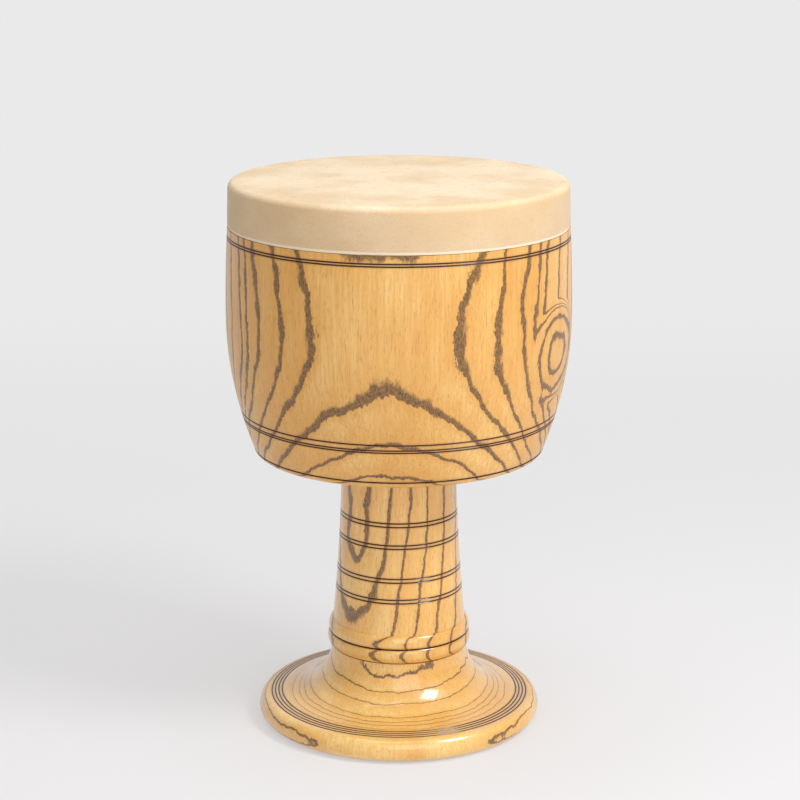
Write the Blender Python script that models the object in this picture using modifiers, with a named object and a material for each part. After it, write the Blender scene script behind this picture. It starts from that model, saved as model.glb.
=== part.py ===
"""Tombak: a goblet drum of three turned wooden blocks and one glued skin.

Lengths are in metres, +Z is up, and the origin is the centre of the foot's base.
Each piece is half a cross-section spun round the drum's axis by a Screw modifier.
"""
import math

import bpy

# Heights of the drum's sections, floor to playing face.
FOOT_HEIGHT = 0.0620
NECK_HEIGHT = 0.1646
BOWL_HEIGHT = 0.2208
SKIN_THICKNESS = 0.0010
FIT_GAP = 0.0003

# Bowl, heights measured up from its underside.
BOWL_WIDE_RADIUS = 0.1385
BOWL_WIDE_HEIGHT = 0.1140
BOWL_BASE_RADIUS = 0.1175
BASE_LIP_HEIGHT = 0.0062
BASE_LIP_WIDTH = 0.0120
SKIRT_DEPTH = 0.0356
SHOULDER_DROP = 0.0025
RIM_LEAN = 0.0007
RIM_CORNER = 0.0055
BOWL_WALL = 0.0130
RIM_LAND = 0.0030
RIM_BEVEL = 0.0040
FLOOR_THICKNESS = 0.0200
SKIVE_HEIGHT = 0.0018
SKIVE_EDGE = 0.0004

# Neck, and the two tenons that hold it in the bowl and the foot.
NECK_TOP_RADIUS = 0.0467
NECK_LOW_RADIUS = 0.0544
NECK_TAPER_POWER = 1.7
BORE_RADIUS = 0.0310
UPPER_TENON_RADIUS = 0.0400
LOWER_TENON_RADIUS = 0.0440
LOWER_TENON_LENGTH = 0.0180
UPPER_BEAD_HEIGHT = 0.0107
LOWER_BEAD_HEIGHT = 0.0126
BEAD_VALLEY_RADIUS = 0.0563
BEAD_SEAM_RADIUS = 0.0552
UPPER_BEAD_BULGE = 0.0026
LOWER_BEAD_BULGE = 0.0031

# Foot, heights measured up from the floor.
FOOT_RIM_RADIUS = 0.1160
FOOT_RIM_HEIGHT = 0.0090
FOOT_BASE_RADIUS = 0.1050
FOOT_LAND_RADIUS = 0.1090
FOOT_LAND_HEIGHT = 0.0195
FOOT_DISH_RADIUS = 0.0965
FOOT_DISH_HEIGHT = 0.0213
FOOT_TOP_RADIUS = 0.0560
MOUTH_RADIUS = 0.0880
MOUTH_LIP = 0.0060
BELL_POWER = 1.3

# Burnt lines are V-grooves. Heights are measured up from each piece's lower end,
# and the pair under the skin is measured down from the skin's edge.
GROOVE_WIDTH = 0.0010
GROOVE_DEPTH = 0.0005
SKIRT_GROOVES = (0.0066, 0.0086)
BOWL_GROOVES = (0.0386, 0.0342, 0.0323)
BASE_GROOVE = 0.0062
NECK_GROOVES = (0.1163, 0.1133, 0.0981, 0.0953, 0.0704, 0.0673, 0.0531, 0.0502)
FOOT_GROOVE_SPACING = 0.0028
FOOT_GROOVE_COUNT = 4

# How finely the sections are spun and their curves drawn.
BOWL_SIDES = 56
NECK_SIDES = 36
FOOT_SIDES = 52
CURVE_STEPS = 7
MERGE_DISTANCE = 0.00002

SEAM_FOOT = FOOT_HEIGHT
SEAM_BOWL = FOOT_HEIGHT + NECK_HEIGHT
RIM_TOP = SEAM_BOWL + BOWL_HEIGHT
SKIN_UNDER = RIM_TOP + FIT_GAP
SKIN_TOP = SKIN_UNDER + SKIN_THICKNESS
SKIRT_LOW = SKIN_TOP - SKIRT_DEPTH
UNDERSIDE = SEAM_BOWL + FIT_GAP


def wood(name, colour, roughness):
    """A plain Principled material for one piece."""
    material = bpy.data.materials.new(name)
    material.use_nodes = True
    shader = material.node_tree.nodes["Principled BSDF"]
    shader.inputs["Base Color"].default_value = (*colour, 1.0)
    shader.inputs["Roughness"].default_value = roughness
    shader.inputs["Metallic"].default_value = 0.0
    return material


def turned(name, profile, sides, material, collection, closed=True):
    """Spin a half section, given top to bottom down its outside, round Z."""
    edges = [(i, i + 1) for i in range(len(profile) - 1)]
    if closed:
        edges.append((len(profile) - 1, 0))
    mesh = bpy.data.meshes.new(name)
    mesh.from_pydata([(r, 0.0, z) for r, z in profile], edges, [])
    piece = bpy.data.objects.new(name, mesh)
    collection.objects.link(piece)
    screw = piece.modifiers.new("Turn", "SCREW")
    screw.steps = sides
    screw.render_steps = sides
    screw.use_merge_vertices = True
    screw.merge_threshold = MERGE_DISTANCE
    screw.use_smooth_shade = False
    depsgraph = bpy.context.evaluated_depsgraph_get()
    solid = bpy.data.meshes.new_from_object(piece.evaluated_get(depsgraph))
    piece.modifiers.clear()
    piece.data = solid
    solid.name = name
    solid.materials.clear()
    solid.materials.append(material)
    solid.shade_smooth()
    solid.set_sharp_from_angle(angle=math.radians(30.0))
    return piece


def arc(centre, width, height, start, end, steps):
    """Points on an ellipse from one angle to another, in degrees."""
    points = []
    for i in range(steps + 1):
        angle = math.radians(start + (end - start) * i / steps)
        points.append((centre[0] + width * math.cos(angle), centre[1] + height * math.sin(angle)))
    return points


def grooved_wall(radius_at, top, bottom, grooves, steps):
    """A wall that follows radius_at(z) down, with a V cut at each groove's height."""
    heights = {top, bottom}
    for i in range(1, steps):
        z = top + (bottom - top) * i / steps
        if all(abs(z - g) > 2.5 * GROOVE_WIDTH for g in grooves):
            heights.add(z)
    points = [(z, radius_at(z)) for z in heights]
    for g in grooves:
        points.append((g + GROOVE_WIDTH / 2, radius_at(g + GROOVE_WIDTH / 2)))
        points.append((g, radius_at(g) - GROOVE_DEPTH))
        points.append((g - GROOVE_WIDTH / 2, radius_at(g - GROOVE_WIDTH / 2)))
    points.sort(reverse=True)
    return [(r, z) for z, r in points]


def bowl_radius(z):
    """The barrel curve: a parabola above and below the widest height."""
    wide = SEAM_BOWL + BOWL_WIDE_HEIGHT
    if z > wide:
        return BOWL_WIDE_RADIUS - SHOULDER_DROP * ((z - wide) / (SKIRT_LOW - wide)) ** 2
    low = UNDERSIDE + BASE_LIP_HEIGHT
    drop = BOWL_WIDE_RADIUS - BOWL_BASE_RADIUS
    return BOWL_WIDE_RADIUS - drop * ((wide - z) / (wide - low)) ** 2


def neck_radius(z):
    """The stem's outline above its beads, widening towards them."""
    low = SEAM_FOOT + LOWER_BEAD_HEIGHT + UPPER_BEAD_HEIGHT
    share = (SEAM_BOWL - z) / (SEAM_BOWL - low)
    return NECK_TOP_RADIUS + (NECK_LOW_RADIUS - NECK_TOP_RADIUS) * share ** NECK_TAPER_POWER


def bead(top, bottom, top_radius, bottom_radius, bulge, steps):
    """A half-round bead between two heights, without its end points."""
    points = []
    for i in range(1, steps):
        angle = math.pi * i / steps
        share = (1.0 - math.cos(angle)) / 2.0
        radius = top_radius + (bottom_radius - top_radius) * share + bulge * math.sin(angle)
        points.append((radius, top + (bottom - top) * share))
    return points


def head_outline(inset):
    """The skin's outside, from the playing face to the skirt's edge, moved in by inset."""
    top = SKIN_TOP - inset
    skirt_radius = bowl_radius(SKIRT_LOW)
    corner_radius = skirt_radius - RIM_LEAN
    centre = (corner_radius - RIM_CORNER, SKIN_TOP - RIM_CORNER)
    size = RIM_CORNER - inset
    points = arc(centre, size, size, 90.0, 0.0, 4)
    return points, corner_radius - inset, skirt_radius - inset, top


def make_skin(collection):
    outer, _, low_outer, top = head_outline(0.0)
    inner, _, low_inner, under = head_outline(SKIN_THICKNESS)
    profile = [(0.0, top)]
    profile += outer
    profile.append((low_outer, SKIRT_LOW + SKIVE_HEIGHT))
    profile.append((low_inner + SKIVE_EDGE, SKIRT_LOW))
    profile.append((low_inner, SKIRT_LOW))
    profile += list(reversed(inner))
    profile.append((0.0, under))
    skin = wood("skin", (0.79, 0.66, 0.47), 0.62)
    return turned("skin_head", profile, BOWL_SIDES, skin, collection, closed=False)


def make_bowl(collection):
    rebate, _, low_radius, _ = head_outline(SKIN_THICKNESS + FIT_GAP)
    step = SKIRT_LOW - FIT_GAP
    profile = list(rebate)
    profile.append((low_radius, step))
    grooves = [SKIRT_LOW - drop for drop in SKIRT_GROOVES]
    grooves += [UNDERSIDE + g for g in BOWL_GROOVES]
    base = UNDERSIDE + BASE_GROOVE
    profile += grooved_wall(bowl_radius, step, base + GROOVE_WIDTH / 2, grooves, 12)
    profile.append((bowl_radius(base) - GROOVE_DEPTH, base))
    lip_centre = (BOWL_BASE_RADIUS - BASE_LIP_WIDTH, UNDERSIDE + BASE_LIP_HEIGHT)
    lip = arc(lip_centre, BASE_LIP_WIDTH, BASE_LIP_HEIGHT, -4.0, -90.0, 4)
    profile += lip
    socket = UPPER_TENON_RADIUS + FIT_GAP
    floor = UNDERSIDE + FLOOR_THICKNESS
    profile.append((socket, UNDERSIDE))
    profile.append((socket, floor))
    wide = SEAM_BOWL + BOWL_WIDE_HEIGHT
    cavity = BOWL_WIDE_RADIUS - BOWL_WALL
    dish = arc((socket, wide), cavity - socket, wide - floor, -90.0, 0.0, CURVE_STEPS)
    profile += dish[1:]
    land = rebate[0][0] - RIM_LAND
    profile.append((land - RIM_BEVEL, rebate[0][1] - 2.0 * RIM_BEVEL))
    profile.append((land, rebate[0][1] - RIM_BEVEL / 4))
    material = wood("bowl_wood", (0.74, 0.49, 0.21), 0.35)
    return turned("bowl", profile, BOWL_SIDES, material, collection)


def make_neck(collection):
    top = SEAM_BOWL
    bead_top = SEAM_FOOT + LOWER_BEAD_HEIGHT + UPPER_BEAD_HEIGHT
    valley = SEAM_FOOT + LOWER_BEAD_HEIGHT
    seat = SEAM_FOOT + FIT_GAP
    tenon_top = UNDERSIDE + FLOOR_THICKNESS - FIT_GAP
    tenon_foot = SEAM_FOOT - LOWER_TENON_LENGTH
    grooves = [SEAM_FOOT + g for g in NECK_GROOVES]
    profile = [(UPPER_TENON_RADIUS, tenon_top), (UPPER_TENON_RADIUS, top)]
    profile += grooved_wall(neck_radius, top, bead_top, grooves, 6)
    profile += bead(bead_top, valley, NECK_LOW_RADIUS, BEAD_VALLEY_RADIUS, UPPER_BEAD_BULGE, 6)
    profile.append((BEAD_VALLEY_RADIUS, valley))
    profile += bead(valley, seat, BEAD_VALLEY_RADIUS, BEAD_SEAM_RADIUS, LOWER_BEAD_BULGE, 6)
    profile.append((BEAD_SEAM_RADIUS, seat))
    profile.append((LOWER_TENON_RADIUS, seat))
    profile.append((LOWER_TENON_RADIUS, tenon_foot))
    profile.append((BORE_RADIUS, tenon_foot))
    profile.append((BORE_RADIUS, tenon_top))
    material = wood("neck_wood", (0.80, 0.55, 0.24), 0.3)
    return turned("neck", profile, NECK_SIDES, material, collection)


def make_foot(collection):
    socket = LOWER_TENON_RADIUS + FIT_GAP
    shelf = SEAM_FOOT - LOWER_TENON_LENGTH - FIT_GAP
    profile = [(socket, SEAM_FOOT)]
    centre = (FOOT_DISH_RADIUS + 0.004, SEAM_FOOT)
    flare = arc(centre, centre[0] - FOOT_TOP_RADIUS, SEAM_FOOT - FOOT_DISH_HEIGHT, 180.0, 260.0, 8)
    profile += flare
    slope = (FOOT_LAND_HEIGHT - FOOT_DISH_HEIGHT) / (FOOT_LAND_RADIUS - FOOT_DISH_RADIUS)

    def land(radius):
        return FOOT_DISH_HEIGHT + slope * (radius - FOOT_DISH_RADIUS)

    first = FOOT_DISH_RADIUS + GROOVE_WIDTH
    for i in range(FOOT_GROOVE_COUNT):
        middle = first + i * FOOT_GROOVE_SPACING
        profile.append((middle - GROOVE_WIDTH / 2, land(middle - GROOVE_WIDTH / 2)))
        profile.append((middle, land(middle) - GROOVE_DEPTH))
        profile.append((middle + GROOVE_WIDTH / 2, land(middle + GROOVE_WIDTH / 2)))
    shoulder = (FOOT_LAND_RADIUS, FOOT_RIM_HEIGHT)
    reach = FOOT_RIM_RADIUS - FOOT_LAND_RADIUS
    profile += arc(shoulder, reach, FOOT_LAND_HEIGHT - FOOT_RIM_HEIGHT, 90.0, 0.0, 5)
    under = (FOOT_BASE_RADIUS, FOOT_RIM_HEIGHT)
    profile += arc(under, FOOT_RIM_RADIUS - FOOT_BASE_RADIUS, FOOT_RIM_HEIGHT, 0.0, -90.0, 5)[1:]
    profile.append((MOUTH_RADIUS, 0.0))
    for i in range(CURVE_STEPS + 1):
        share = i / CURVE_STEPS
        radius = MOUTH_RADIUS + (BORE_RADIUS - MOUTH_RADIUS) * share
        profile.append((radius, MOUTH_LIP + (shelf - MOUTH_LIP) * share ** BELL_POWER))
    profile.append((socket, shelf))
    material = wood("foot_wood", (0.79, 0.53, 0.22), 0.3)
    return turned("foot", profile, FOOT_SIDES, material, collection)


for old in list(bpy.data.objects):
    bpy.data.objects.remove(old, do_unlink=True)
drum = bpy.data.collections.new("tombak")
bpy.context.scene.collection.children.link(drum)
make_foot(drum)
make_neck(drum)
make_bowl(drum)
make_skin(drum)
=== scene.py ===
"""Looks of the tombak goblet drum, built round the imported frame.

Lengths are in metres, angles in degrees, +Z is up, and the origin is the centre of the
foot's base.
"""

import math

import bpy
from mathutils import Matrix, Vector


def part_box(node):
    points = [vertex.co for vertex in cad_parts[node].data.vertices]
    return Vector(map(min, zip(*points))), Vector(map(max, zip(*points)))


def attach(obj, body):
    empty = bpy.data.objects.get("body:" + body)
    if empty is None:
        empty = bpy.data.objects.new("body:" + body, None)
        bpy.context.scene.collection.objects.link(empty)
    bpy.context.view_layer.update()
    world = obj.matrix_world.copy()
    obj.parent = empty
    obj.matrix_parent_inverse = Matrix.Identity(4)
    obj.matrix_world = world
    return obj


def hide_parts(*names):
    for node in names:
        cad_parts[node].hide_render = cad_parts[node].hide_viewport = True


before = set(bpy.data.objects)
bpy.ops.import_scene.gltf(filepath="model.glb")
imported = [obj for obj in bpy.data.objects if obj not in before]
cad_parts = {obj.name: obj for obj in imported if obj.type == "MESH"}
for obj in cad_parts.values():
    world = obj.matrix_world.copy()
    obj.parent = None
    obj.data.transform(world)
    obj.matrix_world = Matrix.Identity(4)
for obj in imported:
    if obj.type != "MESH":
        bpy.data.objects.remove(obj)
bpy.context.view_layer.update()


# The foot: one turned block of ring-porous wood, a concave cone that runs out to a
# thick round rim round the open mouth. It is lacquered, and four fine lines are
# burnt just inside the rim with a taut wire while it spins on the lathe.
foot_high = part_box("foot")[1]
SEAM_FOOT = foot_high.z
FOOT_RIM_RADIUS = foot_high.x
FOOT_RIM_HEIGHT = 0.0090
FOOT_BASE_RADIUS = 0.1050
FOOT_LAND_RADIUS = 0.1090
FOOT_LAND_HEIGHT = 0.0195
FOOT_DISH_RADIUS = 0.0965
FOOT_DISH_HEIGHT = 0.0213
FOOT_TOP_RADIUS = 0.0560
FLARE_RUNOUT = 0.0040
FLARE_END_ANGLE = 259.0
FLARE_STEPS = 40
ROUND_STEPS = 16
MOUTH_RADIUS = 0.0880
MOUTH_LIP = 0.0060
BELL_POWER = 1.3
BELL_STEPS = 24
BORE_RADIUS = 0.0310
LOWER_TENON_RADIUS = 0.0440
LOWER_TENON_LENGTH = 0.0180
FIT_GAP = 0.0003
GROOVE_WIDTH = 0.0010
GROOVE_DEPTH = 0.0005
GROOVE_SPREAD = 0.7
GROOVE_HALF_STEPS = 4
FOOT_GROOVE_SPACING = 0.0028
FOOT_GROOVE_COUNT = 4
FOOT_GROOVES = tuple(
    FOOT_DISH_RADIUS + GROOVE_WIDTH + i * FOOT_GROOVE_SPACING for i in range(FOOT_GROOVE_COUNT))
TURNED_SIDES = 224
MERGE_DISTANCE = 0.00002
SHARP_ANGLE = 38.0
# A pith is its place in X and Y at the floor, and its lean in X and Y as it rises.
# Growth rings are (distance from the pith, thickness of the dark band).
FOOT_PITH = ((0.0, -0.0060), (0.0, 0.0))
FOOT_RINGS = (
    (0.0510, 0.0005), (0.0565, 0.0004), (0.0635, 0.0004), (0.0740, 0.0004), (0.0790, 0.0004),
    (0.0830, 0.0004), (0.0885, 0.0004), (0.1113, 0.0006), (0.1150, 0.0005), (0.1190, 0.0006),
)


def arc(centre, width, height, start, end, steps):
    """Points on an ellipse from one angle to another, in degrees."""
    points = []
    for i in range(steps + 1):
        angle = math.radians(start + (end - start) * i / steps)
        points.append((centre[0] + width * math.cos(angle), centre[1] + height * math.sin(angle)))
    return points


def groove(place, spot):
    """A round-bottomed burnt groove: spot(t, depth) gives the wall's point at place t."""
    points = []
    for i in range(-GROOVE_HALF_STEPS, GROOVE_HALF_STEPS + 1):
        share = i / GROOVE_HALF_STEPS
        depth = GROOVE_DEPTH * (0.5 + 0.5 * math.cos(math.pi * share))
        points.append(spot(place + share * GROOVE_WIDTH * GROOVE_SPREAD, depth))
    return points


def turned(name, profile, sides, closed=True):
    """Spin a half section, given top to bottom down its outside, round Z."""
    edges = [(i, i + 1) for i in range(len(profile) - 1)]
    if closed:
        edges.append((len(profile) - 1, 0))
    mesh = bpy.data.meshes.new(name)
    mesh.from_pydata([(r, 0.0, z) for r, z in profile], edges, [])
    piece = bpy.data.objects.new(name, mesh)
    bpy.context.scene.collection.objects.link(piece)
    screw = piece.modifiers.new("Turn", "SCREW")
    screw.steps = sides
    screw.render_steps = sides
    screw.use_merge_vertices = True
    screw.merge_threshold = MERGE_DISTANCE
    depsgraph = bpy.context.evaluated_depsgraph_get()
    solid = bpy.data.meshes.new_from_object(piece.evaluated_get(depsgraph))
    piece.modifiers.clear()
    piece.data = solid
    solid.shade_smooth()
    solid.set_sharp_from_angle(angle=math.radians(SHARP_ANGLE))
    return piece


def paint(red, green, blue):
    """A colour given in 0 to 255 steps, as the linear colour that a shader takes."""
    linear = []
    for step in (red, green, blue):
        share = step / 255.0
        linear.append(share / 12.92 if share <= 0.04045 else ((share + 0.055) / 1.055) ** 2.4)
    return (*linear, 1.0)


def feed(tree, socket, value):
    """Link value to a socket, or write it there if it is plain."""
    if isinstance(value, bpy.types.NodeSocket):
        tree.links.new(value, socket)
    else:
        socket.default_value = value


def reckon(tree, operation, *values):
    """One Math node."""
    node = tree.nodes.new("ShaderNodeMath")
    node.operation = operation
    for socket, value in zip(node.inputs, values):
        feed(tree, socket, value)
    return node.outputs[0]


def reckon_vector(tree, operation, first, second=None):
    """The output sockets of one Vector Math node."""
    node = tree.nodes.new("ShaderNodeVectorMath")
    node.operation = operation
    tree.links.new(first, node.inputs[0])
    if second is not None:
        node.inputs[1].default_value = second
    return node.outputs


def split_axes(tree, place):
    """The X, Y and Z sockets of a place."""
    node = tree.nodes.new("ShaderNodeSeparateXYZ")
    tree.links.new(place, node.inputs[0])
    return node.outputs


def fade(tree, value, start, end, low=0.0):
    """A smooth step from low to 1 as value goes from start to end."""
    node = tree.nodes.new("ShaderNodeMapRange")
    node.interpolation_type = "SMOOTHSTEP"
    for name, number in (("From Min", start), ("From Max", end), ("To Min", low)):
        feed(tree, node.inputs[name], number)
    tree.links.new(value, node.inputs["Value"])
    return node.outputs["Result"]


# The Mix node's colour sockets, which share their names with its other sockets.
MIX_FIRST = 6
MIX_SECOND = 7
MIX_RESULT = 2


def blend(tree, share, first, second):
    """Two colours mixed by share."""
    node = tree.nodes.new("ShaderNodeMix")
    node.data_type = "RGBA"
    feed(tree, node.inputs["Factor"], share)
    feed(tree, node.inputs[MIX_FIRST], first)
    feed(tree, node.inputs[MIX_SECOND], second)
    return node.outputs[MIX_RESULT]


def tint(tree, colour, mask, strength, second):
    """A colour turned towards a second one where the mask is, by at most strength."""
    return blend(tree, reckon(tree, "MULTIPLY", mask, strength), colour, second)


def speckle(tree, place, stretch, detail, roughness):
    """Noise over place, with one scale for each axis."""
    scaled = reckon_vector(tree, "MULTIPLY", place, stretch)["Vector"]
    noise = tree.nodes.new("ShaderNodeTexNoise")
    tree.links.new(scaled, noise.inputs["Vector"])
    noise.inputs["Scale"].default_value = 1.0
    noise.inputs["Detail"].default_value = detail
    noise.inputs["Roughness"].default_value = roughness
    return noise.outputs["Fac"]


def open_group(name, inputs, outputs):
    """A node group with named sockets, and its input and output nodes."""
    tree = bpy.data.node_groups.new(name, "ShaderNodeTree")
    for label, kind in inputs:
        tree.interface.new_socket(label, in_out="INPUT", socket_type=kind)
    for label, kind in outputs:
        tree.interface.new_socket(label, in_out="OUTPUT", socket_type=kind)
    entry = tree.nodes.new("NodeGroupInput")
    leave = tree.nodes.new("NodeGroupOutput")
    return tree, entry.outputs, leave.inputs


def open_material(name):
    """A new material, its node tree, its Principled shader and the place on the piece."""
    material = bpy.data.materials.new(name)
    material.use_nodes = True
    tree = material.node_tree
    place = tree.nodes.new("ShaderNodeTexCoord").outputs["Object"]
    return material, tree, tree.nodes["Principled BSDF"], place


def roughen(tree, shader, height, strength):
    """A Bump node from a height in metres to the shader's normal."""
    bump = tree.nodes.new("ShaderNodeBump")
    bump.inputs["Strength"].default_value = strength
    bump.inputs["Distance"].default_value = 1.0
    tree.links.new(height, bump.inputs["Height"])
    tree.links.new(bump.outputs["Normal"], shader.inputs["Normal"])


# A noise is (cycles per metre along X, Y and Z, detail, roughness). Each of these is
# drawn out up the block.
STREAK_NOISE = ((420.0, 420.0, 16.0), 4.0, 0.6)
FLECK_NOISE = ((1500.0, 1500.0, 130.0), 2.0, 0.6)
CLOUD_NOISE = ((16.0, 16.0, 6.0), 3.0, 0.6)
PORE_NOISE = ((1300.0, 1300.0, 420.0), 3.0, 0.7)
# A range is the noise value where an effect starts and the one where it is full.
STREAK_RANGE = (0.32, 0.70)
CLOUD_RANGE = (0.35, 0.68)
FLECK_RANGE = (0.54, 0.68)
PORE_RANGE = (0.40, 0.58)


def wood_grain_group():
    """Fine grain that runs up the block: streaks, short pore flecks and slow clouds."""
    outputs = [(label, "NodeSocketFloat") for label in ("Streak", "Fleck", "Cloud", "Pore")]
    tree, given, out = open_group("wood_grain", [("Position", "NodeSocketVector")], outputs)
    place = given["Position"]
    tree.links.new(speckle(tree, place, *STREAK_NOISE), out["Streak"])
    flecks = speckle(tree, place, *FLECK_NOISE)
    tree.links.new(fade(tree, flecks, *FLECK_RANGE), out["Fleck"])
    tree.links.new(speckle(tree, place, *CLOUD_NOISE), out["Cloud"])
    pores = speckle(tree, place, *PORE_NOISE)
    tree.links.new(fade(tree, pores, *PORE_RANGE), out["Pore"])
    return tree


# How the rings stray from true circles, as pairs of a noise and its swing in metres.
RING_STRAYS = (
    (((34.0, 34.0, 11.0), 2.0, 0.5), 0.0040),
    (((110.0, 110.0, 60.0), 2.0, 0.5), 0.0018),
    (((520.0, 520.0, 230.0), 3.0, 0.65), 0.0012),
)
# A band ends this many times more sharply on its pith side, and fades out between
# these two shares of its thickness.
BAND_SHARPNESS = 3.0
BAND_GONE = 1.15
BAND_FULL = 0.55
HAZE_REACH = 0.0065


def growth_ring_group(name, pith, rings, bumps=(), eyes=()):
    """Dark earlywood bands at set distances from the pith. A bump is (centre, size, push)
    and bends the rings. An eye is (centre, reach in the middle, fall of it per metre
    outwards, radius inside which it rules, radius outside which it doesn't count) and
    closes them to loops. Band is 1 in a dark band, and Haze fades outwards from it."""
    outputs = [("Band", "NodeSocketFloat"), ("Haze", "NodeSocketFloat")]
    tree, given, out = open_group(name, [("Position", "NodeSocketVector")], outputs)
    place = given["Position"]
    axes = split_axes(tree, place)
    start, lean = pith
    pith_x = reckon(tree, "MULTIPLY_ADD", axes["Z"], lean[0], start[0])
    pith_y = reckon(tree, "MULTIPLY_ADD", axes["Z"], lean[1], start[1])
    across = reckon(tree, "SUBTRACT", axes["X"], pith_x)
    along = reckon(tree, "SUBTRACT", axes["Y"], pith_y)
    squares = reckon(tree, "MULTIPLY_ADD", across, across, reckon(tree, "MULTIPLY", along, along))
    reach = reckon(tree, "SQRT", squares)
    for centre, middle, fall, inside, outside in eyes:
        away = reckon_vector(tree, "DISTANCE", place, centre)["Value"]
        loops = reckon(tree, "MULTIPLY_ADD", away, -fall, middle)
        held = fade(tree, away, outside, inside)
        reach = reckon(tree, "MULTIPLY_ADD", held, reckon(tree, "SUBTRACT", loops, reach), reach)
    for noise, distance in RING_STRAYS:
        stray = reckon(tree, "SUBTRACT", speckle(tree, place, *noise), 0.5)
        reach = reckon(tree, "MULTIPLY_ADD", stray, distance, reach)
    for centre, size, push in bumps:
        share = reckon(tree, "DIVIDE", reckon_vector(tree, "DISTANCE", place, centre)["Value"], size)
        squared = reckon(tree, "MULTIPLY", share, share)
        bell = reckon(tree, "EXPONENT", reckon(tree, "MULTIPLY", squared, -0.5))
        reach = reckon(tree, "MULTIPLY_ADD", bell, push, reach)
    nearest = None
    haze = None
    for radius, width in rings:
        past = reckon(tree, "SUBTRACT", reach, radius)
        past = reckon(tree, "MAXIMUM", past, reckon(tree, "MULTIPLY", past, -BAND_SHARPNESS))
        share = reckon(tree, "DIVIDE", past, width)
        nearest = share if nearest is None else reckon(tree, "MINIMUM", nearest, share)
        haze = past if haze is None else reckon(tree, "MINIMUM", haze, past)
    tree.links.new(fade(tree, nearest, BAND_GONE, BAND_FULL), out["Band"])
    tree.links.new(fade(tree, haze, HAZE_REACH, 0.0), out["Haze"])
    return tree


# A burnt line, and a line of painted shade in a crease, is black out to the first
# distance and gone at the second, and the brown beside it, scorch by a burnt line and painted shade
# by a crease, does the same.
CHAR_AND_SHADE_FULL = 0.00042
CHAR_AND_SHADE_GONE = 0.00072
SCORCH_AND_SHADE_FULL = 0.0004
SCORCH_AND_SHADE_GONE = 0.0022


def burnt_and_crease_shade_line_group(name, places):
    """Dark lines at set places along one measure, such as height or radius: burnt lines,
    and on the neck also painted shade in the crease between its beads and at its seam with the foot.
    """
    outputs = [("Char And Shade", "NodeSocketFloat"), ("Scorch And Shade", "NodeSocketFloat")]
    tree, given, out = open_group(name, [("Place", "NodeSocketFloat")], outputs)
    nearest = None
    for place in places:
        gap = reckon(tree, "ABSOLUTE", reckon(tree, "SUBTRACT", given["Place"], place))
        nearest = gap if nearest is None else reckon(tree, "MINIMUM", nearest, gap)
    tree.links.new(fade(tree, nearest, CHAR_AND_SHADE_GONE, CHAR_AND_SHADE_FULL), out["Char And Shade"])
    tree.links.new(fade(tree, nearest, SCORCH_AND_SHADE_GONE, SCORCH_AND_SHADE_FULL), out["Scorch And Shade"])
    return tree


WOOD_GRAIN = wood_grain_group()
FLECK_BROWN = paint(168, 116, 56)
PORE_DARK = paint(72, 47, 24)
RING_BROWN = paint(140, 101, 56)
SCORCH_AND_SHADE_BROWN = paint(150, 84, 30)
CHAR_AND_SHADE_BLACK = paint(38, 16, 6)
# How strongly each colour shows where its mask is 1.
STREAK_STRENGTH = 0.75
CLOUD_STRENGTH = 0.60
HAZE_STRENGTH = 0.55
FLECK_STRENGTH = 0.45
BAND_STRENGTH = 0.92
SCORCH_AND_SHADE_STRENGTH = 0.42
# The streaks swing the roughness by this much in all, and charred wood adds to it.
ROUGHNESS_SWING = 0.14
CHAR_ROUGHNESS = 0.25
COAT_ROUGHNESS = 0.09
LACQUER_IOR = 1.48
PORE_DIP = 0.00010
FLECK_DIP = 0.00003
WOOD_BUMP = 0.6


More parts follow.
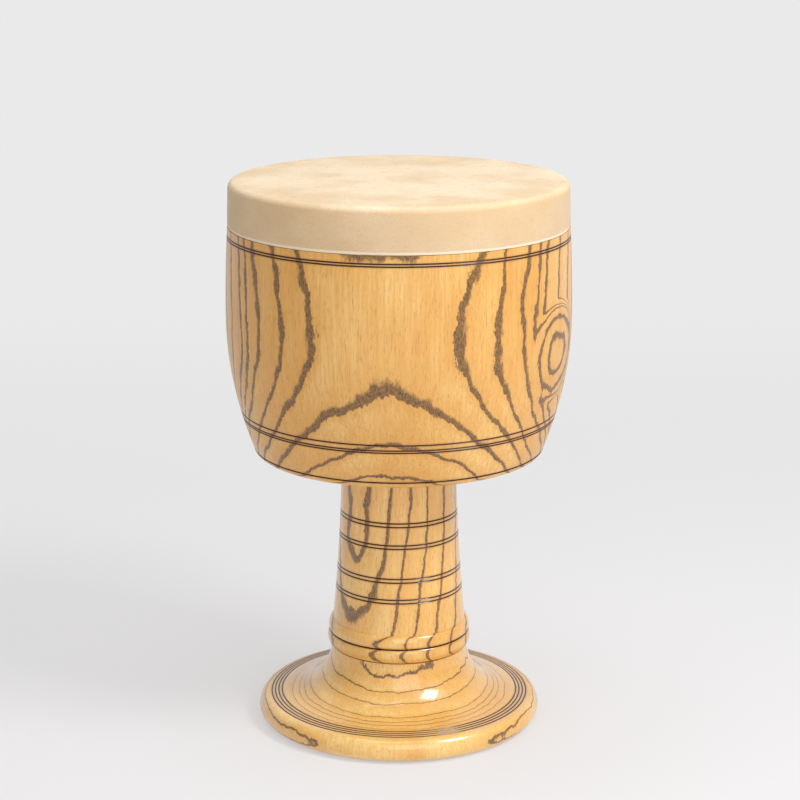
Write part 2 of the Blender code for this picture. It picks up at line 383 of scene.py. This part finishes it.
def lacquered_wood(name, tones, rings, burnt, measure, roughness, coat):
    """Wood with its growth rings, burnt lines and any lines of painted crease shade under clear
    lacquer. tones are the pale wood, the streaked wood and the amber beside a ring."""
    material, tree, shader, place = open_material(name)

    def placed(group, socket, value):
        node = tree.nodes.new("ShaderNodeGroup")
        node.node_tree = group
        tree.links.new(value, node.inputs[socket])
        return node.outputs

    grain = placed(WOOD_GRAIN, "Position", place)
    figure = placed(rings, "Position", place)
    if measure == "radius":
        flat = reckon_vector(tree, "MULTIPLY", place, (1.0, 1.0, 0.0))["Vector"]
        along = reckon_vector(tree, "LENGTH", flat)["Value"]
    else:
        along = split_axes(tree, place)["Z"]
    # For the neck, burnt also holds lines of painted shade in its creases.
    lines = placed(burnt, "Place", along)

    pale, streaked, amber = tones
    streak = fade(tree, grain["Streak"], *STREAK_RANGE)
    cloud = fade(tree, grain["Cloud"], *CLOUD_RANGE)
    colour = tint(tree, pale, streak, STREAK_STRENGTH, streaked)
    colour = tint(tree, colour, cloud, CLOUD_STRENGTH, amber)
    colour = tint(tree, colour, figure["Haze"], HAZE_STRENGTH, amber)
    colour = tint(tree, colour, grain["Fleck"], FLECK_STRENGTH, FLECK_BROWN)
    band_brown = blend(tree, grain["Pore"], PORE_DARK, RING_BROWN)
    colour = tint(tree, colour, figure["Band"], BAND_STRENGTH, band_brown)
    # The scorch and char colours also paint shade in the creases where such lines are given.
    colour = tint(tree, colour, lines["Scorch And Shade"], SCORCH_AND_SHADE_STRENGTH, SCORCH_AND_SHADE_BROWN)
    colour = blend(tree, lines["Char And Shade"], colour, CHAR_AND_SHADE_BLACK)
    tree.links.new(colour, shader.inputs["Base Color"])

    lowest = roughness - ROUGHNESS_SWING / 2
    rough = reckon(tree, "MULTIPLY_ADD", grain["Streak"], ROUGHNESS_SWING, lowest)
    rough = reckon(tree, "MULTIPLY_ADD", lines["Char And Shade"], CHAR_ROUGHNESS, rough)
    tree.links.new(rough, shader.inputs["Roughness"])
    shader.inputs["Coat Weight"].default_value = coat
    shader.inputs["Coat Roughness"].default_value = COAT_ROUGHNESS
    shader.inputs["IOR"].default_value = LACQUER_IOR

    dip = reckon(tree, "MULTIPLY", figure["Band"], reckon(tree, "SUBTRACT", 1.0, grain["Pore"]))
    height = reckon(tree, "MULTIPLY", grain["Fleck"], -FLECK_DIP)
    roughen(tree, shader, reckon(tree, "MULTIPLY_ADD", dip, -PORE_DIP, height), WOOD_BUMP)
    return material


def foot_land(radius, depth=0.0):
    """A point on the sloping land between the concave cone and the rim."""
    slope = (FOOT_LAND_HEIGHT - FOOT_DISH_HEIGHT) / (FOOT_LAND_RADIUS - FOOT_DISH_RADIUS)
    return radius, FOOT_DISH_HEIGHT + slope * (radius - FOOT_DISH_RADIUS) - depth


foot_socket = LOWER_TENON_RADIUS + FIT_GAP
foot_shelf = SEAM_FOOT - LOWER_TENON_LENGTH - FIT_GAP
flare_centre = (FOOT_DISH_RADIUS + FLARE_RUNOUT, SEAM_FOOT)
foot_profile = [(foot_socket, SEAM_FOOT)]
flare_width = flare_centre[0] - FOOT_TOP_RADIUS
flare_drop = SEAM_FOOT - FOOT_DISH_HEIGHT
foot_profile += arc(flare_centre, flare_width, flare_drop, 180.0, FLARE_END_ANGLE, FLARE_STEPS)
for groove_radius in FOOT_GROOVES:
    foot_profile += groove(groove_radius, foot_land)
rim_reach = FOOT_RIM_RADIUS - FOOT_LAND_RADIUS
rim_rise = FOOT_LAND_HEIGHT - FOOT_RIM_HEIGHT
foot_profile += arc((FOOT_LAND_RADIUS, FOOT_RIM_HEIGHT), rim_reach, rim_rise, 90.0, 0.0, ROUND_STEPS)
base_reach = FOOT_RIM_RADIUS - FOOT_BASE_RADIUS
base_centre = (FOOT_BASE_RADIUS, FOOT_RIM_HEIGHT)
foot_profile += arc(base_centre, base_reach, FOOT_RIM_HEIGHT, 0.0, -90.0, ROUND_STEPS)[1:]
foot_profile.append((MOUTH_RADIUS, 0.0))
for step in range(BELL_STEPS + 1):
    share = step / BELL_STEPS
    bell_radius = MOUTH_RADIUS + (BORE_RADIUS - MOUTH_RADIUS) * share
    foot_profile.append((bell_radius, MOUTH_LIP + (foot_shelf - MOUTH_LIP) * share ** BELL_POWER))
foot_profile.append((foot_socket, foot_shelf))

foot = turned("foot_turned", foot_profile, TURNED_SIDES)
foot.data.materials.append(lacquered_wood(
    "foot_lacquered_wood",
    tones=(paint(250, 212, 136), paint(238, 188, 104), paint(230, 168, 78)),
    rings=growth_ring_group("foot_growth_rings", FOOT_PITH, FOOT_RINGS),
    burnt=burnt_and_crease_shade_line_group("foot_burnt_lines", FOOT_GROOVES),
    measure="radius", roughness=0.32, coat=0.9))
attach(foot, "root")
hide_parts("foot")


# The neck: the turned, bored stem of the same wood, glued by a tenon at each end. Four
# double lines are burnt round it, and two half-round beads at its lower end
# stand where it meets the foot. The crease between the beads and the seam under them
# are painted dark as shade. Its lacquer is glossy.
NECK_TOP_RADIUS = 0.0467
NECK_LOW_RADIUS = 0.0544
NECK_TAPER_POWER = 1.7
UPPER_TENON_RADIUS = 0.0400
UPPER_BEAD_HEIGHT = 0.0107
LOWER_BEAD_HEIGHT = 0.0126
BEAD_VALLEY_RADIUS = 0.0563
BEAD_SEAM_RADIUS = 0.0552
UPPER_BEAD_BULGE = 0.0026
LOWER_BEAD_BULGE = 0.0031
STEM_STEPS = 40
BEAD_STEPS = 20
bowl_low, bowl_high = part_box("bowl")
neck_low, neck_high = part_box("neck")
UNDERSIDE = bowl_low.z
SEAM_BOWL = UNDERSIDE - FIT_GAP
NECK_GROOVES = tuple(
    SEAM_FOOT + rise for rise in (0.1163, 0.1133, 0.0981, 0.0953, 0.0704, 0.0673, 0.0531, 0.0502))
NECK_PITH = ((-0.01466, -0.01466), (-0.01343, -0.01343))
NECK_RINGS = (
    (0.0155, 0.0010), (0.0233, 0.0012), (0.0309, 0.0013), (0.0390, 0.0009), (0.0464, 0.0008),
    (0.0546, 0.0009), (0.0630, 0.0008), (0.0710, 0.0008),
)
# A bump that bends the rings at the front left of the stem.
NECK_SWELL = ((-0.0350, -0.0350, 0.1580), 0.0170, -0.0029)


def neck_wall(height, depth=0.0):
    """A point on the stem above its beads, widening towards them."""
    low = SEAM_FOOT + LOWER_BEAD_HEIGHT + UPPER_BEAD_HEIGHT
    share = (SEAM_BOWL - height) / (SEAM_BOWL - low)
    spread = (NECK_LOW_RADIUS - NECK_TOP_RADIUS) * share ** NECK_TAPER_POWER
    return NECK_TOP_RADIUS + spread - depth, height


def grooved_wall(wall, top, bottom, grooves, steps):
    """A wall drawn downwards, with a groove at each of the given heights."""
    points = []
    for i in range(steps + 1):
        height = top + (bottom - top) * i / steps
        if all(abs(height - g) > GROOVE_WIDTH for g in grooves):
            points.append(wall(height))
    for g in grooves:
        points += groove(g, wall)
    return sorted(points, key=lambda point: -point[1])


def bead(top, bottom, top_radius, bottom_radius, bulge, steps):
    """A half-round bead between two heights, without its end points."""
    points = []
    for i in range(1, steps):
        angle = math.pi * i / steps
        share = (1.0 - math.cos(angle)) / 2.0
        radius = top_radius + (bottom_radius - top_radius) * share + bulge * math.sin(angle)
        points.append((radius, top + (bottom - top) * share))
    return points


bead_top = SEAM_FOOT + LOWER_BEAD_HEIGHT + UPPER_BEAD_HEIGHT
bead_valley = SEAM_FOOT + LOWER_BEAD_HEIGHT
neck_seat = SEAM_FOOT + FIT_GAP
neck_profile = [(UPPER_TENON_RADIUS, neck_high.z), (UPPER_TENON_RADIUS, SEAM_BOWL)]
neck_profile += grooved_wall(neck_wall, SEAM_BOWL, bead_top, NECK_GROOVES, STEM_STEPS)
neck_profile += bead(
    bead_top, bead_valley, NECK_LOW_RADIUS, BEAD_VALLEY_RADIUS, UPPER_BEAD_BULGE, BEAD_STEPS)
neck_profile.append((BEAD_VALLEY_RADIUS, bead_valley))
neck_profile += bead(
    bead_valley, neck_seat, BEAD_VALLEY_RADIUS, BEAD_SEAM_RADIUS, LOWER_BEAD_BULGE, BEAD_STEPS)
neck_profile += [(BEAD_SEAM_RADIUS, neck_seat), (LOWER_TENON_RADIUS, neck_seat)]
neck_profile += [(LOWER_TENON_RADIUS, neck_low.z), (BORE_RADIUS, neck_low.z)]
neck_profile.append((BORE_RADIUS, neck_high.z))

neck = turned("neck_turned", neck_profile, TURNED_SIDES)
neck.data.materials.append(lacquered_wood(
    "neck_lacquered_wood_and_crease_shade",
    tones=(paint(248, 208, 132), paint(236, 184, 98), paint(227, 162, 66)),
    rings=growth_ring_group("neck_growth_rings", NECK_PITH, NECK_RINGS, (NECK_SWELL,)),
    # bead_valley and SEAM_FOOT add dark lines of painted shade in the crease between the beads and
    # where the lower bead meets the foot.
    burnt=burnt_and_crease_shade_line_group("neck_burnt_lines_and_crease_shade", (*NECK_GROOVES, bead_valley, SEAM_FOOT)),
    measure="height", roughness=0.32, coat=0.9))
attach(neck, "root")
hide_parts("neck")


# The bowl: the deep sound chamber, turned and hollowed from one block. The growth rings
# cross its wall as tall arches in front and near-straight lines at the sides,
# and burnt lines run under the skin, low on the wall and on the base edge.
BOWL_WIDE_RADIUS = bowl_high.x
BOWL_WIDE_HEIGHT = 0.1140
BOWL_BASE_RADIUS = 0.1175
BASE_LIP_HEIGHT = 0.0062
BASE_LIP_WIDTH = 0.0120
SHOULDER_DROP = 0.0025
RIM_LEAN = 0.0007
RIM_CORNER = 0.0055
BOWL_WALL = 0.0130
RIM_LAND = 0.0030
RIM_BEVEL = 0.0040
FLOOR_THICKNESS = 0.0200
SKIN_THICKNESS = 0.0010
skin_low, skin_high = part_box("skin_head")
SKIRT_LOW = skin_low.z
SKIN_TOP = skin_high.z
BOWL_GROOVES = tuple(UNDERSIDE + rise for rise in (0.1796, 0.1776, 0.0386, 0.0342, 0.0323))
BASE_GROOVE = UNDERSIDE + BASE_LIP_HEIGHT
BOWL_PITH = ((-0.0028, -0.0399), (0.0, 0.0))
BOWL_RINGS = (
    (0.0790, 0.0008), (0.0875, 0.0009), (0.0963, 0.0012), (0.1032, 0.0010), (0.1085, 0.0009),
    (0.1150, 0.0009), (0.1184, 0.0008), (0.1214, 0.0009), (0.1276, 0.0009), (0.1338, 0.0009),
    (0.1400, 0.0009), (0.1470, 0.0009), (0.1540, 0.0010), (0.1610, 0.0009), (0.1680, 0.0010),
    (0.1750, 0.0010),
)
# A bump that bends the rings at the front, some way under the skin.
BOWL_BROW = ((-0.0090, -0.1370, 0.3900), 0.0150, 0.0030)
# An eye, like a knot, at the right of the front, which closes the rings to loops.
EYE_ANGLE = 64.0
EYE_CENTRE = (
    BOWL_WIDE_RADIUS * math.sin(math.radians(EYE_ANGLE)),
    -BOWL_WIDE_RADIUS * math.cos(math.radians(EYE_ANGLE)),
    0.3230)
BOWL_EYE = (EYE_CENTRE, 0.1255, 0.23, 0.0330, 0.0440)
WIDE_HEIGHT = SEAM_BOWL + BOWL_WIDE_HEIGHT
BARREL_STEPS = 70
LIP_START_ANGLE = -4.0
LIP_STEPS = 14
DISH_STEPS = 32
REBATE_STEPS = 12


def bowl_wall(height, depth=0.0):
    """A point on the barrel curve: a parabola above and below the widest height."""
    if height > WIDE_HEIGHT:
        share = (height - WIDE_HEIGHT) / (SKIRT_LOW - WIDE_HEIGHT)
        return BOWL_WIDE_RADIUS - SHOULDER_DROP * share ** 2 - depth, height
    drop = BOWL_WIDE_RADIUS - BOWL_BASE_RADIUS
    share = (WIDE_HEIGHT - height) / (WIDE_HEIGHT - BASE_GROOVE)
    return BOWL_WIDE_RADIUS - drop * share ** 2 - depth, height


def head_outline(inset, steps):
    """The round corner of the head and the radius of its lower edge, moved in by inset."""
    skirt_radius = bowl_wall(SKIRT_LOW)[0]
    centre = (skirt_radius - RIM_LEAN - RIM_CORNER, SKIN_TOP - RIM_CORNER)
    size = RIM_CORNER - inset
    return arc(centre, size, size, 90.0, 0.0, steps), skirt_radius - inset


rebate, rebate_radius = head_outline(SKIN_THICKNESS + FIT_GAP, REBATE_STEPS)
rebate_step = SKIRT_LOW - FIT_GAP
bowl_profile = [*rebate, (rebate_radius, rebate_step)]
wall_end = BASE_GROOVE + GROOVE_WIDTH / 2
bowl_profile += grooved_wall(bowl_wall, rebate_step, wall_end, BOWL_GROOVES, BARREL_STEPS)
bowl_profile.append(bowl_wall(BASE_GROOVE, GROOVE_DEPTH))
lip_centre = (BOWL_BASE_RADIUS - BASE_LIP_WIDTH, BASE_GROOVE)
bowl_profile += arc(lip_centre, BASE_LIP_WIDTH, BASE_LIP_HEIGHT, LIP_START_ANGLE, -90.0, LIP_STEPS)
bowl_socket = UPPER_TENON_RADIUS + FIT_GAP
bowl_floor = UNDERSIDE + FLOOR_THICKNESS
bowl_profile += [(bowl_socket, UNDERSIDE), (bowl_socket, bowl_floor)]
cavity_radius = BOWL_WIDE_RADIUS - BOWL_WALL
dish_centre = (bowl_socket, WIDE_HEIGHT)
dish_width = cavity_radius - bowl_socket
bowl_profile += arc(dish_centre, dish_width, WIDE_HEIGHT - bowl_floor, -90.0, 0.0, DISH_STEPS)[1:]
rim_inner = rebate[0][0] - RIM_LAND
rim_top = rebate[0][1]
bowl_profile.append((rim_inner - RIM_BEVEL, rim_top - 2.0 * RIM_BEVEL))
bowl_profile.append((rim_inner, rim_top - RIM_BEVEL / 4))

bowl = turned("bowl_turned", bowl_profile, TURNED_SIDES)
bowl.data.materials.append(lacquered_wood(
    "bowl_lacquered_wood",
    tones=(paint(243, 199, 124), paint(222, 164, 84), paint(216, 152, 66)),
    rings=growth_ring_group("bowl_growth_rings", BOWL_PITH, BOWL_RINGS, (BOWL_BROW,), (BOWL_EYE,)),
    burnt=burnt_and_crease_shade_line_group("bowl_burnt_lines", (*BOWL_GROOVES, BASE_GROOVE)),
    measure="height", roughness=0.40, coat=0.3))
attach(bowl, "root")
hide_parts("bowl")


# The skin: one disc of scraped pale hide, glued wet over the rim and down its side. It
# dries flat and tight, with a small round corner, a mottled, leathery side painted darker
# as shade, and a lower edge pared thin, which catches the light as a pale line.
SKIVE_HEIGHT = 0.0018
SKIVE_EDGE = 0.0004
CORNER_STEPS = 14
HIDE_PALE = paint(246, 226, 194)
HIDE_PATCH = paint(230, 203, 163)
HIDE_PEBBLE = paint(196, 163, 120)
HIDE_CREASE = paint(202, 170, 128)
# Painted shade for the side of the skin.
HIDE_SIDE_SHADE = paint(212, 176, 130)
HIDE_PARED = paint(250, 238, 214)
PATCH_NOISE = ((15.0, 15.0, 22.0), 4.0, 0.55)
PEBBLE_NOISE = ((900.0, 900.0, 900.0), 4.0, 0.7)
CREASE_NOISE = ((160.0, 160.0, 420.0), 4.0, 0.65)
PATCH_RANGE = (0.38, 0.66)
PEBBLE_RANGE = (0.42, 0.62)
CREASE_RANGE = (0.50, 0.66)
# Heights between which the side's painted shade, and the pale pared edge, come in.
SIDE_SHADE_HEIGHTS = (SKIN_TOP - 0.0002, SKIN_TOP - 0.0045)
PARED_HEIGHTS = (SKIRT_LOW + 0.0026, SKIRT_LOW + 0.0016)
PEBBLE_STRENGTH = 0.35
CREASE_STRENGTH = 0.25
SIDE_SHADE_STRENGTH = 0.60
PARED_STRENGTH = 0.7
PEBBLE_RISE = 0.00012
CREASE_RISE = 0.00025
HIDE_BUMP = 0.5
HIDE_ROUGHNESS = 0.62
HIDE_SHEEN = 0.08


def scraped_hide_and_side_shade():
    """Matt pale hide with cloudy patches, a fine pebbled grain and creases, and painted shade down
    its side.
    """
    material, tree, shader, place = open_material("scraped_hide_and_side_shade")
    height = split_axes(tree, place)["Z"]
    patches = fade(tree, speckle(tree, place, *PATCH_NOISE), *PATCH_RANGE)
    pebble = speckle(tree, place, *PEBBLE_NOISE)
    creases = speckle(tree, place, *CREASE_NOISE)
    colour = blend(tree, patches, HIDE_PALE, HIDE_PATCH)
    colour = tint(tree, colour, fade(tree, pebble, *PEBBLE_RANGE), PEBBLE_STRENGTH, HIDE_PEBBLE)
    colour = tint(tree, colour, fade(tree, creases, *CREASE_RANGE), CREASE_STRENGTH, HIDE_CREASE)
    # The side below the corner is painted darker, as shade.
    colour = tint(tree, colour, fade(tree, height, *SIDE_SHADE_HEIGHTS), SIDE_SHADE_STRENGTH, HIDE_SIDE_SHADE)
    colour = tint(tree, colour, fade(tree, height, *PARED_HEIGHTS), PARED_STRENGTH, HIDE_PARED)
    tree.links.new(colour, shader.inputs["Base Color"])
    shader.inputs["Roughness"].default_value = HIDE_ROUGHNESS
    shader.inputs["Sheen Weight"].default_value = HIDE_SHEEN
    relief = reckon(tree, "MULTIPLY", creases, CREASE_RISE)
    roughen(tree, shader, reckon(tree, "MULTIPLY_ADD", pebble, PEBBLE_RISE, relief), HIDE_BUMP)
    return material


outer, outer_radius = head_outline(0.0, CORNER_STEPS)
inner, inner_radius = head_outline(SKIN_THICKNESS, CORNER_STEPS)
skin_profile = [(0.0, SKIN_TOP), (outer[0][0] * 0.5, SKIN_TOP), *outer]
skin_profile += [(outer_radius, SKIRT_LOW + SKIVE_HEIGHT), (inner_radius + SKIVE_EDGE, SKIRT_LOW)]
skin_profile += [(inner_radius, SKIRT_LOW), *reversed(inner), (0.0, inner[0][1])]
skin = turned("skin_stretched", skin_profile, TURNED_SIDES, closed=False)
skin.data.materials.append(scraped_hide_and_side_shade())
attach(skin, "root")
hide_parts("skin_head")


# The studio: a pale paper sweep, flat under the drum and curved up behind it. It is
# lit by a small softbox high at the front right, wide ones in front and overhead,
# and the pale room. The paper and the room look plain to the camera.
SWEEP_HALF_WIDTH = 6.0
SWEEP_FRONT = -5.0
SWEEP_BEND_START = 1.6
SWEEP_BEND_RADIUS = 1.2
SWEEP_TOP = 5.0
SWEEP_BEND_STEPS = 24
BACKGROUND_PALE = paint(235, 234, 235)
PAPER_PALE = paint(232, 231, 231)
PAPER_ROUGHNESS = 0.9
PAPER_SPECULAR = 0.2
# How far the paper is shown as plain background: by NEAR_GLOW under the drum, and
# wholly from FLOOR_FADE_END behind it.
NEAR_GLOW = 0.55
FLOOR_FADE_START = 0.0
FLOOR_FADE_END = 1.7
ROOM_TINT = (0.97, 0.98, 1.0, 1.0)
ROOM_STRENGTH = 0.42


def pale_paper():
    """Matt paper that takes shadows. To the camera and in reflections it glows as plain
    background, more so farther back."""
    material, tree, shader, place = open_material("pale_paper")
    shader.inputs["Base Color"].default_value = PAPER_PALE
    shader.inputs["Roughness"].default_value = PAPER_ROUGHNESS
    shader.inputs["Specular IOR Level"].default_value = PAPER_SPECULAR
    glow = tree.nodes.new("ShaderNodeEmission")
    glow.inputs["Color"].default_value = BACKGROUND_PALE
    path = tree.nodes.new("ShaderNodeLightPath")
    seen = path.outputs["Is Camera Ray"]
    for ray in ("Is Glossy Ray", "Is Transmission Ray"):
        seen = reckon(tree, "MAXIMUM", seen, path.outputs[ray])
    depth = split_axes(tree, place)["Y"]
    far = fade(tree, depth, FLOOR_FADE_START, FLOOR_FADE_END, NEAR_GLOW)
    mix = tree.nodes.new("ShaderNodeMixShader")
    tree.links.new(reckon(tree, "MULTIPLY", seen, far), mix.inputs["Fac"])
    tree.links.new(shader.outputs["BSDF"], mix.inputs[1])
    tree.links.new(glow.outputs["Emission"], mix.inputs[2])
    tree.links.new(mix.outputs["Shader"], tree.nodes["Material Output"].inputs["Surface"])
    return material


sweep_line = [(SWEEP_FRONT, 0.0)]
bend_centre = (SWEEP_BEND_START, SWEEP_BEND_RADIUS)
sweep_line += arc(bend_centre, SWEEP_BEND_RADIUS, SWEEP_BEND_RADIUS, -90.0, 0.0, SWEEP_BEND_STEPS)
sweep_line.append((SWEEP_BEND_START + SWEEP_BEND_RADIUS, SWEEP_TOP))
sweep_points = []
for depth, height in sweep_line:
    sweep_points += [(-SWEEP_HALF_WIDTH, depth, height), (SWEEP_HALF_WIDTH, depth, height)]
sweep_faces = [(2 * i, 2 * i + 1, 2 * i + 3, 2 * i + 2) for i in range(len(sweep_line) - 1)]
sweep_mesh = bpy.data.meshes.new("paper_sweep")
sweep_mesh.from_pydata(sweep_points, [], sweep_faces)
sweep_mesh.shade_smooth()
sweep = bpy.data.objects.new("paper_sweep", sweep_mesh)
bpy.context.scene.collection.objects.link(sweep)
sweep_mesh.materials.append(pale_paper())


def softbox(name, place, aim, width, height, power):
    """A rectangular area lamp at place, turned towards aim."""
    lamp = bpy.data.lights.new(name, "AREA")
    lamp.shape = "RECTANGLE"
    lamp.size = width
    lamp.size_y = height
    lamp.energy = power
    holder = bpy.data.objects.new(name, lamp)
    holder.location = place
    bpy.context.scene.collection.objects.link(holder)
    look = bpy.data.objects.new(name + "_aim", None)
    look.location = aim
    bpy.context.scene.collection.objects.link(look)
    track = holder.constraints.new("TRACK_TO")
    track.target = look
    track.track_axis = "TRACK_NEGATIVE_Z"
    track.up_axis = "UP_Y"


softbox(
    "softbox_right", place=(1.26, -0.84, 1.75), aim=(0.0, 0.0, 0.2),
    width=0.7, height=0.7, power=27.0)
softbox(
    "softbox_front", place=(0.4, -2.0, 1.0), aim=(0.0, 0.0, 0.25),
    width=1.6, height=1.4, power=13.0)
softbox(
    "softbox_overhead", place=(-0.1, -0.1, 2.3), aim=(0.0, 0.0, 0.4),
    width=1.4, height=1.4, power=14.0)


def pale_room():
    """A world whose tint lights the drum, and whose plain wall the camera sees."""
    world = bpy.data.worlds.new("pale_room")
    world.use_nodes = True
    tree = world.node_tree
    light = tree.nodes["Background"]
    light.inputs["Color"].default_value = ROOM_TINT
    light.inputs["Strength"].default_value = ROOM_STRENGTH
    wall = tree.nodes.new("ShaderNodeBackground")
    wall.inputs["Color"].default_value = BACKGROUND_PALE
    path = tree.nodes.new("ShaderNodeLightPath")
    mix = tree.nodes.new("ShaderNodeMixShader")
    tree.links.new(path.outputs["Is Camera Ray"], mix.inputs["Fac"])
    tree.links.new(light.outputs["Background"], mix.inputs[1])
    tree.links.new(wall.outputs["Background"], mix.inputs[2])
    tree.links.new(mix.outputs["Shader"], tree.nodes["World Output"].inputs["Surface"])
    return world


bpy.context.scene.world = pale_room()


# The camera: a long lens in front of the drum and higher than its head, turned
# down so that the playing face shows as a flat ellipse.
CAMERA_PLACE = (0.0009, -1.782, 0.7289)
CAMERA_PITCH = 14.49
SENSOR_WIDTH_MM = 36.0
FOCAL_LENGTH_MM = 102.3

lens = bpy.data.cameras.new("camera")
lens.sensor_width = SENSOR_WIDTH_MM
lens.lens = FOCAL_LENGTH_MM
camera = bpy.data.objects.new("camera", lens)
camera.location = CAMERA_PLACE
camera.rotation_euler = (math.radians(90.0 - CAMERA_PITCH), 0.0, 0.0)
bpy.context.scene.collection.objects.link(camera)
bpy.context.scene.camera = camera
bpy.context.scene.view_settings.view_transform = "Standard"
